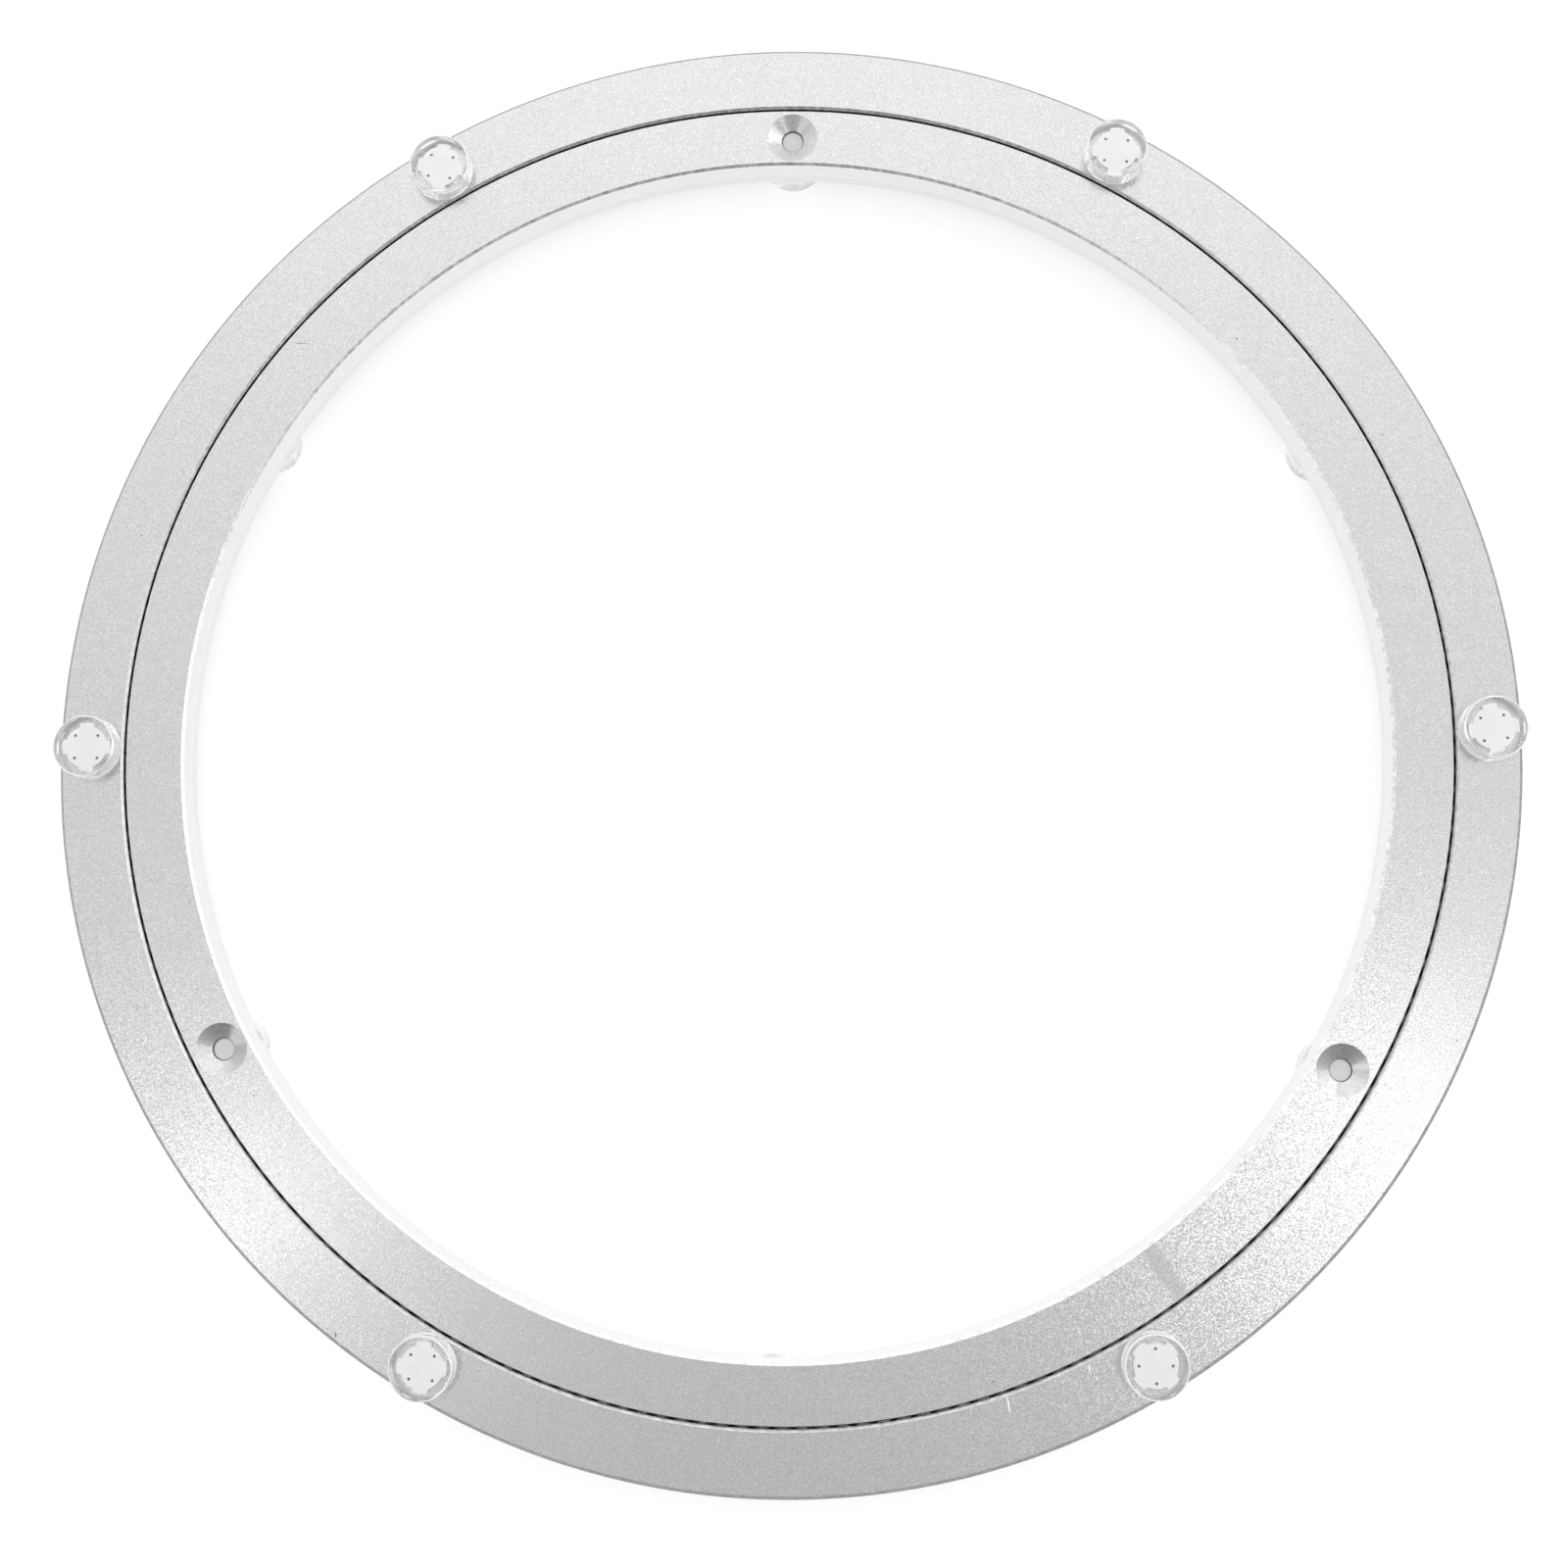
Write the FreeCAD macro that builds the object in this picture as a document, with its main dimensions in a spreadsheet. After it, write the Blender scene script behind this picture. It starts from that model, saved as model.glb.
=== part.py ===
"""A 300 mm turntable bearing: two flat aluminium rings, one inside the other, on a full ring of steel balls.

The inner ring stands on six clear pads, and the outer ring turns about it and carries six more.
Origin: on the turning axis, in the plane the base pads stand on. +Z is up. Millimetres and degrees.
"""
import FreeCAD, Part
import os
import Sketcher

PARTS_FOLDER = "parts"
ORIGIN = FreeCAD.Vector(0, 0, 0)
X_AXIS = FreeCAD.Vector(1, 0, 0)
Y_AXIS = FreeCAD.Vector(0, 1, 0)
Z_AXIS = FreeCAD.Vector(0, 0, 1)
SAME_RADIUS = 1e-4
LEAST_CUT_VOLUME = 0.1

DIMENSIONS = {
    # rings
    "outer_diameter": 300,
    "bore_diameter": 248,
    "ring_height": 8.5,
    "gap_width": 0.6,
    "edge_bevel": 0.5,
    "rim_bevel": 0.8,
    "gap_bevel": 0.15,
    # balls, their race, and the hole they are loaded through
    "ball_circle": 272.7,
    "ball_diameter": 3.96875,
    "ball_count": 215,
    "race_clearance": 0.08,
    "filler_diameter": 4.4,
    "filler_angle": 36,
    "filler_recess": 0.2,
    "filler_bevel": 0.3,
    # clear pads
    "pad_count": 6,
    "pad_diameter": 13,
    "pad_height": 4,
    "pad_draft": 1.5,
    "pad_rounding": 0.6,
    "top_pad_circle": 287,
    "base_pad_circle": 260,
    "base_pad_angle": 28.5,
    # toothed plugs that hold the pads
    "head_diameter": 8.6,
    "head_height": 1.3,
    "lug_span": 10,
    "lug_width": 3,
    "lug_count": 4,
    "dimple_diameter": 0.6,
    "dimple_circle": 6.6,
    "dimple_depth": 0.9,
    "stem_diameter": 5,
    "stem_length": 6.4,
    "stem_bevel": 0.4,
    "fit_clearance": 0.05,
    # screw holes
    "screw_count": 3,
    "screw_hole": 4.7,
    "screw_cone": 10.6,
    "screw_cone_angle": 120,
    "top_screw_angle": 88.5,
    "underside_screw_angle": 60,
}

# Levels and radii that several pieces share, as expressions on the sheet.
RING_BOTTOM = "Dimensions.pad_height"
RING_TOP = "Dimensions.pad_height + Dimensions.ring_height"
RING_MIDDLE = "Dimensions.pad_height + Dimensions.ring_height / 2"
RACE_RADIUS = "Dimensions.ball_circle / 2"
RACE_DIAMETER = "Dimensions.ball_diameter + 2 * Dimensions.race_clearance"
INNER_RING_DIAMETER = "Dimensions.ball_circle - Dimensions.gap_width"
OUTER_RING_BORE = "Dimensions.ball_circle + Dimensions.gap_width"
SOCKET_DIAMETER = "Dimensions.stem_diameter + 2 * Dimensions.fit_clearance"
SOCKET_DEPTH = "Dimensions.stem_length + Dimensions.fit_clearance"

# The plugs are pressed in by hand, so each stands at a turn of its own, counted from the ring's radius.
TOP_PLUG_TURNS = (6.5, 25, 52, -0.5, 26, 15)
BASE_PLUG_TURNS = (12, -33, 4, 41, -8, 27)


# ---- document, sketches and features ----------------------------------------------------------

def make_sheet(doc):
    sheet = doc.addObject("Spreadsheet::Sheet", "Dimensions")
    for row, (alias, value) in enumerate(DIMENSIONS.items(), start=1):
        sheet.set(f"A{row}", alias)
        sheet.set(f"B{row}", str(value))
        sheet.setAlias(f"B{row}", alias)
    doc.recompute()
    return sheet


def dim(alias):
    return f"Dimensions.{alias}"


def make_body(doc, label):
    body = doc.addObject("PartDesign::Body", label)
    body.Label = label
    return body


def origin_feature(body, role):
    return next(item for item in body.Origin.OriginFeatures if item.Role == role)


def make_sketch(body, plane, name, lift="0", turn="0", turn_axis=Z_AXIS):
    """A sketch on an origin plane, lifted along the plane's normal and turned about turn_axis of the sketch."""
    sketch = body.newObject("Sketcher::SketchObject", name)
    sketch.AttachmentSupport = [(origin_feature(body, plane), "")]
    sketch.MapMode = "FlatFace"
    sketch.AttachmentOffset = FreeCAD.Placement(ORIGIN, FreeCAD.Rotation(turn_axis, 1))
    sketch.setExpression("AttachmentOffset.Rotation.Angle", turn)
    if turn_axis == Z_AXIS:
        sketch.setExpression("AttachmentOffset.Base.z", lift)
    return sketch


def bind_constraint(sketch, constraint, expression):
    index = sketch.addConstraint(constraint)
    sketch.setExpression(f"Constraints[{index}]", expression)


def draw_circle(sketch, diameter, x=None, y=None):
    """A circle at x and y in the sketch. A coordinate left out is zero."""
    centre = FreeCAD.Vector(20 if x else 0, 5 if y else 0, 0)
    circle = sketch.addGeometry(Part.Circle(centre, Z_AXIS, 2), False)
    bind_constraint(sketch, Sketcher.Constraint("Diameter", circle, 4), diameter)
    if x:
        bind_constraint(sketch, Sketcher.Constraint("DistanceX", -1, 1, circle, 3, 20), x)
    else:
        sketch.addConstraint(Sketcher.Constraint("PointOnObject", circle, 3, -2))
    if y:
        bind_constraint(sketch, Sketcher.Constraint("DistanceY", -1, 1, circle, 3, 5), y)
    else:
        sketch.addConstraint(Sketcher.Constraint("PointOnObject", circle, 3, -1))


def draw_bar(sketch, length, width):
    """A rectangle from the sketch's origin out along its first axis, centred on that axis."""
    corners = [FreeCAD.Vector(*xy, 0) for xy in ((0, -1), (5, -1), (5, 1), (0, 1))]
    sides = [Part.LineSegment(a, b) for a, b in zip(corners, corners[1:] + corners[:1])]
    low, right, high, left = sketch.addGeometry(sides, False)
    for side, following in ((low, right), (right, high), (high, left), (left, low)):
        sketch.addConstraint(Sketcher.Constraint("Coincident", side, 2, following, 1))
    for side in (low, high):
        sketch.addConstraint(Sketcher.Constraint("Horizontal", side))
    sketch.addConstraint(Sketcher.Constraint("PointOnObject", low, 1, -2))
    sketch.addConstraint(Sketcher.Constraint("PointOnObject", high, 2, -2))
    sketch.addConstraint(Sketcher.Constraint("Symmetric", right, 1, right, 2, -1))
    bind_constraint(sketch, Sketcher.Constraint("DistanceX", low, 1, low, 2, 5), length)
    bind_constraint(sketch, Sketcher.Constraint("DistanceY", right, 1, right, 2, 2), width)


def add_pad(body, sketch, length, name, downwards=False, draft=None):
    pad = body.newObject("PartDesign::Pad", name)
    pad.Profile = sketch
    pad.setExpression("Length", length)
    pad.Reversed = downwards
    if draft:
        pad.setExpression("TaperAngle", draft)
    return pad


def add_pocket(body, sketch, depth, name, along_normal=False):
    pocket = body.newObject("PartDesign::Pocket", name)
    pocket.Profile = sketch
    pocket.setExpression("Length", depth)
    pocket.Reversed = along_normal
    return pocket


def add_polar_pattern(body, original, count, name):
    pattern = body.newObject("PartDesign::PolarPattern", name)
    pattern.Originals = [original]
    pattern.Axis = (origin_feature(body, "Z_Axis"), [""])
    pattern.Angle = 360
    pattern.setExpression("Occurrences", count)
    body.Tip = pattern
    return pattern


def rim_edges(doc, feature, pick):
    """Names of the circular edges of the largest radius (pick is max) or the smallest (pick is min)."""
    doc.recompute()
    radii = {f"Edge{number}": edge.Curve.Radius
             for number, edge in enumerate(feature.Shape.Edges, start=1) if isinstance(edge.Curve, Part.Circle)}
    chosen = pick(radii.values())
    return [name for name, radius in radii.items() if abs(radius - chosen) < SAME_RADIUS]


def end_edge(doc, feature, direction):
    """Name of the edge that lies furthest along a direction."""
    doc.recompute()
    edges = feature.Shape.Edges
    furthest = max(range(len(edges)), key=lambda index: edges[index].CenterOfMass.dot(direction))
    return [f"Edge{furthest + 1}"]


def add_edge_feature(body, kind, base, edges, size, name):
    """A Chamfer or a Fillet."""
    feature = body.newObject(f"PartDesign::{kind}", name)
    feature.Base = (base, edges)
    feature.setExpression("Radius" if kind == "Fillet" else "Size", size)
    return feature


# ---- the two rings ----------------------------------------------------------------------------

def add_race(body, name="race"):
    """The half-round channel that the balls run in, cut right round the body."""
    sketch = make_sketch(body, "XZ_Plane", f"{name}_section")
    draw_circle(sketch, RACE_DIAMETER, RACE_RADIUS, RING_MIDDLE)
    groove = body.newObject("PartDesign::Groove", name)
    groove.Profile = sketch
    groove.ReferenceAxis = (sketch, ["V_Axis"])
    groove.Angle = 360
    return groove


def add_stem_sockets(body, circle, turn, face, upwards):
    """Blind holes, one for each pad's stem, into the face at that height."""
    sketch = make_sketch(body, "XY_Plane", "socket_sketch", face, turn)
    draw_circle(sketch, SOCKET_DIAMETER, f"{circle} / 2")
    socket = add_pocket(body, sketch, SOCKET_DEPTH, "stem_socket", along_normal=upwards)
    return add_polar_pattern(body, socket, dim("pad_count"), "stem_sockets")


def add_screw_holes(doc, body, circle, turn, face, upwards):
    """Through holes with a shallow 120 degree countersink in the face at that height."""
    sketch = make_sketch(body, "XY_Plane", "screw_sketch", face, turn)
    draw_circle(sketch, dim("screw_hole"), f"{circle} / 2")
    doc.recompute()
    hole = body.newObject("PartDesign::Hole", "screw_hole")
    hole.Profile = sketch
    hole.Reversed = upwards
    hole.DepthType = "ThroughAll"
    hole.ThreadType = "None"
    hole.HoleCutType = "Countersink"
    hole.HoleCutCustomValues = True
    hole.setExpression("Diameter", dim("screw_hole"))
    hole.setExpression("HoleCutDiameter", dim("screw_cone"))
    hole.setExpression("HoleCutCountersinkAngle", dim("screw_cone_angle"))
    return add_polar_pattern(body, hole, dim("screw_count"), "screw_holes")


def add_ring_blank(doc, body, outside, inside, outside_bevel, inside_bevel):
    """A flat ring between the ring levels, with its four edges bevelled."""
    sketch = make_sketch(body, "XY_Plane", "blank_sketch", RING_BOTTOM)
    draw_circle(sketch, outside)
    draw_circle(sketch, inside)
    blank = add_pad(body, sketch, dim("ring_height"), "blank")
    rims = rim_edges(doc, blank, max)
    bevelled = add_edge_feature(body, "Chamfer", blank, rims, outside_bevel, "outside_bevel")
    rims = rim_edges(doc, bevelled, min)
    add_edge_feature(body, "Chamfer", bevelled, rims, inside_bevel, "inside_bevel")


def make_inner_ring(doc):
    body = make_body(doc, "inner_ring")
    add_ring_blank(doc, body, INNER_RING_DIAMETER, dim("bore_diameter"),
                   dim("gap_bevel"), dim("edge_bevel"))
    add_race(body)
    add_stem_sockets(body, dim("base_pad_circle"), dim("base_pad_angle"), RING_BOTTOM, upwards=True)
    add_screw_holes(doc, body, dim("base_pad_circle"), dim("top_screw_angle"), RING_TOP, upwards=False)
    return body


def make_outer_ring(doc):
    body = make_body(doc, "outer_ring")
    add_ring_blank(doc, body, dim("outer_diameter"), OUTER_RING_BORE,
                   dim("rim_bevel"), dim("edge_bevel"))
    add_race(body)
    add_stem_sockets(body, dim("top_pad_circle"), "0", RING_TOP, upwards=False)
    add_screw_holes(doc, body, dim("top_pad_circle"), dim("underside_screw_angle"), RING_BOTTOM,
                    upwards=True)
    sketch = make_sketch(body, "YZ_Plane", "filler_sketch", turn=dim("filler_angle"), turn_axis=Y_AXIS)
    draw_circle(sketch, "Dimensions.filler_diameter + 2 * Dimensions.fit_clearance", y=RING_MIDDLE)
    add_pocket(body, sketch, dim("outer_diameter"), "filler_hole", along_normal=True)
    return body


# ---- balls and filler plug --------------------------------------------------------------------

def make_balls(doc):
    body = make_body(doc, "bearing_balls")
    ball = body.newObject("PartDesign::AdditiveSphere", "ball")
    ball.setExpression("Radius", "Dimensions.ball_diameter / 2")
    ball.setExpression("Placement.Base.x", RACE_RADIUS)
    ball.setExpression("Placement.Base.z", RING_MIDDLE)
    add_polar_pattern(body, ball, dim("ball_count"), "ball_circle")
    return body


def make_filler_plug(doc):
    """A pin along +X whose inner end carries the race on. The body is turned to its place."""
    body = make_body(doc, "ball_filler_plug")
    sketch = make_sketch(body, "YZ_Plane", "pin_sketch", lift=f"({OUTER_RING_BORE}) / 2")
    draw_circle(sketch, dim("filler_diameter"), y=RING_MIDDLE)
    length = f"Dimensions.outer_diameter / 2 - Dimensions.filler_recess - ({OUTER_RING_BORE}) / 2"
    pin = add_pad(body, sketch, length, "pin")
    outer_end = end_edge(doc, pin, X_AXIS)
    add_edge_feature(body, "Chamfer", pin, outer_end, dim("filler_bevel"), "outer_bevel")
    add_race(body)
    body.setExpression("Placement.Rotation.Angle", dim("filler_angle"))
    return body


# ---- pads -------------------------------------------------------------------------------------

def make_cover(doc, label):
    """A clear pad: a short drafted disc with a rounded rim, and a recess below for the plug's head."""
    body = make_body(doc, label)
    sketch = make_sketch(body, "XY_Plane", "disc_sketch")
    draw_circle(sketch, dim("pad_diameter"))
    disc = add_pad(body, sketch, dim("pad_height"), "disc", draft="-Dimensions.pad_draft")
    top_rim = rim_edges(doc, disc, min)
    add_edge_feature(body, "Fillet", disc, top_rim, dim("pad_rounding"), "rounding")
    depth = "Dimensions.head_height + Dimensions.fit_clearance"
    recess = make_sketch(body, "XY_Plane", "recess_sketch")
    draw_circle(recess, "Dimensions.head_diameter + 2 * Dimensions.fit_clearance")
    add_pocket(body, recess, depth, "recess", along_normal=True)
    slot = make_sketch(body, "XY_Plane", "lug_slot_sketch")
    draw_bar(slot, "Dimensions.lug_span / 2 + Dimensions.fit_clearance",
             "Dimensions.lug_width + 2 * Dimensions.fit_clearance")
    slot_cut = add_pocket(body, slot, depth, "lug_slot", along_normal=True)
    add_polar_pattern(body, slot_cut, dim("lug_count"), "lug_slots")
    return body


def make_plug(doc, label):
    """A toothed head with four lugs and four dimples, on a round stem that goes down into the ring."""
    body = make_body(doc, label)
    head = make_sketch(body, "XY_Plane", "head_sketch")
    draw_circle(head, dim("head_diameter"))
    add_pad(body, head, dim("head_height"), "head")
    lug = make_sketch(body, "XY_Plane", "lug_sketch")
    draw_bar(lug, "Dimensions.lug_span / 2", dim("lug_width"))
    lug_pad = add_pad(body, lug, dim("head_height"), "lug")
    add_polar_pattern(body, lug_pad, dim("lug_count"), "lugs")
    dimple = make_sketch(body, "XY_Plane", "dimple_sketch", dim("head_height"), "180 / Dimensions.lug_count")
    draw_circle(dimple, dim("dimple_diameter"), "Dimensions.dimple_circle / 2")
    dimple_cut = add_pocket(body, dimple, dim("dimple_depth"), "dimple")
    add_polar_pattern(body, dimple_cut, dim("lug_count"), "dimples")
    stem = make_sketch(body, "XY_Plane", "stem_sketch")
    draw_circle(stem, dim("stem_diameter"))
    stem_pad = add_pad(body, stem, dim("stem_length"), "stem", downwards=True)
    tip = end_edge(doc, stem_pad, -Z_AXIS)
    add_edge_feature(body, "Chamfer", stem_pad, tip, dim("stem_bevel"), "stem_bevel")
    return body


def pad_placement(radius, angle, level, turn, below):
    """Stands a pad on a ring's face: on top of it, or upside down under it."""
    around = FreeCAD.Placement(ORIGIN, FreeCAD.Rotation(Z_AXIS, angle))
    outward = FreeCAD.Placement(FreeCAD.Vector(radius, 0, level), FreeCAD.Rotation(X_AXIS, 180 if below else 0))
    return around * outward * FreeCAD.Placement(ORIGIN, FreeCAD.Rotation(Z_AXIS, turn))


def make_pads(doc, sheet, prefix, radius, first_angle, level, turns, below):
    bodies = []
    for index in range(sheet.pad_count):
        angle = first_angle + index * 360 / sheet.pad_count
        placement = pad_placement(radius, angle, level, turns[index], below)
        for body in (make_cover(doc, f"{prefix}_pad_cover_{index + 1}"),
                     make_plug(doc, f"{prefix}_pad_plug_{index + 1}")):
            body.Placement = placement
            bodies.append(body)
    return bodies


# ---- checks and export ------------------------------------------------------------------------

def check_document(doc):
    for item in doc.Objects:
        if "Invalid" in item.State or "Error" in item.State:
            raise RuntimeError(f"{item.Label}: {item.State}")


def check_cuts(body):
    """Every pocket, groove and hole, and every pattern of one, has to take material away."""
    for feature in body.Group:
        if feature.TypeId in ("PartDesign::Pocket", "PartDesign::Groove", "PartDesign::Hole"):
            taken = feature.BaseFeature.Shape.Volume - feature.Shape.Volume
        elif feature.TypeId == "PartDesign::PolarPattern":
            taken = abs(feature.BaseFeature.Shape.Volume - feature.Shape.Volume)
        else:
            continue
        if taken < LEAST_CUT_VOLUME:
            raise RuntimeError(f"{body.Label}.{feature.Name} changes nothing")


def check_body(body):
    if body.Shape.isNull() or not body.Shape.isValid():
        raise RuntimeError(f"{body.Label} has no valid shape")
    check_cuts(body)


def build():
    doc = FreeCAD.newDocument("turntable_bearing")
    sheet = make_sheet(doc)
    top = sheet.pad_height + sheet.ring_height
    bodies = [make_inner_ring(doc), make_outer_ring(doc), make_balls(doc), make_filler_plug(doc)]
    bodies += make_pads(doc, sheet, "base", sheet.base_pad_circle / 2, sheet.base_pad_angle,
                        sheet.pad_height, BASE_PLUG_TURNS, below=True)
    bodies += make_pads(doc, sheet, "top", sheet.top_pad_circle / 2, 0, top, TOP_PLUG_TURNS, below=False)
    doc.recompute()
    check_document(doc)
    for body in bodies:
        check_body(body)
    os.makedirs(PARTS_FOLDER, exist_ok=True)
    for body in bodies:
        body.Shape.exportStep(os.path.join(PARTS_FOLDER, f"{body.Label}.step"))
        print(f"{body.Label}: {len(body.Shape.Solids)} solid, {body.Shape.Volume:.1f} mm3")
    return bodies


build()
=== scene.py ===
import math

import bmesh
import bpy
from mathutils import Matrix, Vector


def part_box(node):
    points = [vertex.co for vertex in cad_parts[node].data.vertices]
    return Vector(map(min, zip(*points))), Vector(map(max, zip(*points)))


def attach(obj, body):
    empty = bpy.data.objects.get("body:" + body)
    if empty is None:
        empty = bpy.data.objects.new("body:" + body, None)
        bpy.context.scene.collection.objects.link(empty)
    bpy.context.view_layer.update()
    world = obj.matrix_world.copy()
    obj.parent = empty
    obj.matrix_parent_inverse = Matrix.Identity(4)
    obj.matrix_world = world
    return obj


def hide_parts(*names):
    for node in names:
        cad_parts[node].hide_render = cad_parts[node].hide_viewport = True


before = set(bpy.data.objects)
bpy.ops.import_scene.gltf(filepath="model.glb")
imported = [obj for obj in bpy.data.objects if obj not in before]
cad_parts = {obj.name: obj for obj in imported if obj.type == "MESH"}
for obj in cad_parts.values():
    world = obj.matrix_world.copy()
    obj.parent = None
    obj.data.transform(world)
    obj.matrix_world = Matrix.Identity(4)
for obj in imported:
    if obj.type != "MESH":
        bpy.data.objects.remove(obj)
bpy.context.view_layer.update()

# Lengths are in metres and angles in degrees, unless a name says otherwise.
MM = 0.001
TURN = 360
TINY = 0.02 * MM            # the air left between two faces that touch
CUT_SPILL = 0.5 * MM        # how far a cutter stands out of the face it cuts
CUT_THROUGH = 10 * MM       # deep enough to pass through a ring

# ---- sizes from the frame ---------------------------------------------------------------------

outer_low, outer_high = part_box("outer_ring")
inner_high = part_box("inner_ring")[1]
cover_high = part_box("top_pad_cover_1")[1]
plug_low, plug_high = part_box("top_pad_plug_1")
ball_low, ball_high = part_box("bearing_balls")
RING_BOTTOM = outer_low.z
RING_TOP = outer_high.z
RING_MIDDLE = (RING_BOTTOM + RING_TOP) / 2
OUTSIDE = outer_high.x
GAP_INNER = inner_high.x
PAD_HEIGHT = cover_high.z - RING_TOP
BALL_RADIUS = (ball_high.z - ball_low.z) / 2
BALL_CIRCLE = ball_high.x - BALL_RADIUS
GAP_OUTER = 2 * BALL_CIRCLE - GAP_INNER
STEM_LENGTH = RING_TOP - plug_low.z
HEAD_HEIGHT = plug_high.z - RING_TOP

# ---- sizes of the ring details ----------------------------------------------------------------

BORE = 124 * MM
EDGE_BEVEL = 0.5 * MM
RIM_BEVEL = 0.8 * MM
GAP_BEVEL = 0.15 * MM
EDGE_ROUND = 0.06 * MM
GAP_ROUND = 0.03 * MM
RACE_RADIUS = BALL_RADIUS + 0.08 * MM
SCREW_HOLE = 2.35 * MM
SCREW_CONE = 5.3 * MM
SCREW_CONE_SLOPE = 60        # degrees from the hole's axis
SCREW_CONE_DEPTH = (SCREW_CONE - SCREW_HOLE) / math.tan(math.radians(SCREW_CONE_SLOPE))
SCREW_COUNT = 3
TOOL_RIDGES = 7
TOOL_RIDGE_HEIGHT = 0.005 * MM
TOP_SCREW_CIRCLE = 130 * MM
TOP_SCREW_ANGLE = 88.5
UNDER_SCREW_CIRCLE = 143.5 * MM
UNDER_SCREW_ANGLE = 60
SOCKET_RADIUS = 2.55 * MM
SOCKET_DEPTH = 6.45 * MM
FILLER_RADIUS = 2.25 * MM
FILLER_ANGLE = 36
SEAM_ANGLE = 304.9
SEAM_CIRCLE = 130 * MM
SEAM_LENGTH = 30 * MM
SEAM_WIDTH = 4.4 * MM

# ---- sizes of the pads ------------------------------------------------------------------------

PAD_COUNT = 6
TOP_PAD_CIRCLE = 143.5 * MM
TOP_PAD_ANGLE = 0
TOP_PAD_TURNS = (6.5, 25, 52, -0.5, 26, 15)
BASE_PAD_CIRCLE = 130 * MM
BASE_PAD_ANGLE = 28.5
BASE_PAD_TURNS = (12, -33, 4, 41, -8, 27)
PAD_RADIUS = 6.5 * MM
PAD_DRAFT = 1.5
PAD_ROUND = 0.6 * MM
PAD_FOOT_ROUND = 0.12 * MM
SIDE_FROM = 5.5 * MM         # the outer side starts at this radius
SIDE_TILT = 0.95             # and takes in faces that point less straight up or down than this
HEAD_RADIUS = 4.3 * MM
LUG_REACH = 5.0 * MM
LUG_WIDTH = 3.0 * MM
LUG_COUNT = 4
HEAD_BEVEL = 0.1 * MM
HEAD_BEVEL_ABOVE = 40        # edges sharper than this many degrees are bevelled
DIMPLE_RADIUS = 0.3 * MM
DIMPLE_CIRCLE = 3.3 * MM
DIMPLE_PLACE = DIMPLE_CIRCLE * math.sqrt(0.5)
DIMPLE_DEPTH = 0.9 * MM
DIMPLE_LIP = 0.02 * MM
DIMPLE_REACH = DIMPLE_RADIUS * 1.02
STEM_RADIUS = 2.5 * MM
STEM_BEVEL = 0.4 * MM
RECESS_GAP = 0.05 * MM

# ---- how finely things are divided ------------------------------------------------------------

RING_STEPS = 720
HOLE_STEPS = 96
PAD_STEPS = 128
DIMPLE_STEPS = 32
RACE_STEPS = 20
LUG_STEPS = 6
HEAD_STEPS = 16
PAD_ROUND_STEPS = 8
HEAD_BEVEL_STEPS = 3
RIDGE_STEPS = 4
SMOOTH_UP_TO = 32


# ---- outlines ---------------------------------------------------------------------------------

def corner_arc(before, here, after, rounding, steps, hold):
    """The arc that rounds one corner, with a point each side that keeps the flats flat."""
    to_before = (before - here).normalized()
    to_after = (after - here).normalized()
    half = to_before.angle(to_after) / 2
    reach = rounding / math.tan(half)
    centre = here + (to_before + to_after).normalized() * rounding / math.sin(half)
    start = here + to_before * reach
    end = here + to_after * reach
    swing = (start - centre).angle_signed(end - centre)
    arc = []
    for step in range(steps + 1):
        turn = Matrix.Rotation(-swing * step / steps, 2)
        arc.append(centre + turn @ (start - centre))
    return [start + to_before * hold, *arc, end + to_after * hold]


def rounded(corners, steps=3):
    """An outline from corners given as (radius, height, rounding)."""
    points = []
    for index, (radius, height, rounding) in enumerate(corners):
        here = Vector((radius, height))
        if rounding == 0:
            points.append(here)
            continue
        before = Vector(corners[index - 1][:2])
        after = Vector(corners[(index + 1) % len(corners)][:2])
        points += corner_arc(before, here, after, rounding, steps, rounding / 2)
    return points


def race_corners(outward):
    """The ball race's round groove, as outline corners from its lower lip to its upper lip."""
    half = math.acos((BALL_CIRCLE - GAP_INNER) / RACE_RADIUS)
    side = 1 if outward else -1
    corners = []
    for step in range(RACE_STEPS + 1):
        angle = half * (2 * step / RACE_STEPS - 1)
        corners.append((
            BALL_CIRCLE + side * RACE_RADIUS * math.cos(angle),
            RING_MIDDLE + RACE_RADIUS * math.sin(angle),
            0,
        ))
    return corners


def head_outline(grow=0.0):
    """Seen from above, a round head with four lugs, as (x, y) points anticlockwise."""
    round_radius = HEAD_RADIUS + grow
    half_width = LUG_WIDTH / 2 + grow
    reach = LUG_REACH + grow
    root = math.asin(half_width / round_radius)
    tip = math.asin(half_width / reach)
    quarter = 2 * math.pi / LUG_COUNT
    points = []
    for lug in range(LUG_COUNT):
        middle = lug * quarter
        for step in range(LUG_STEPS + 1):
            angle = middle + tip * (2 * step / LUG_STEPS - 1)
            points.append(Vector((reach * math.cos(angle), reach * math.sin(angle))))
        for step in range(HEAD_STEPS + 1):
            angle = middle + root + (quarter - 2 * root) * step / HEAD_STEPS
            points.append(Vector((round_radius * math.cos(angle), round_radius * math.sin(angle))))
    return points


# ---- meshes -----------------------------------------------------------------------------------

def new_piece(name, mesh):
    piece = bpy.data.objects.new(name, mesh)
    bpy.context.scene.collection.objects.link(piece)
    return piece


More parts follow.
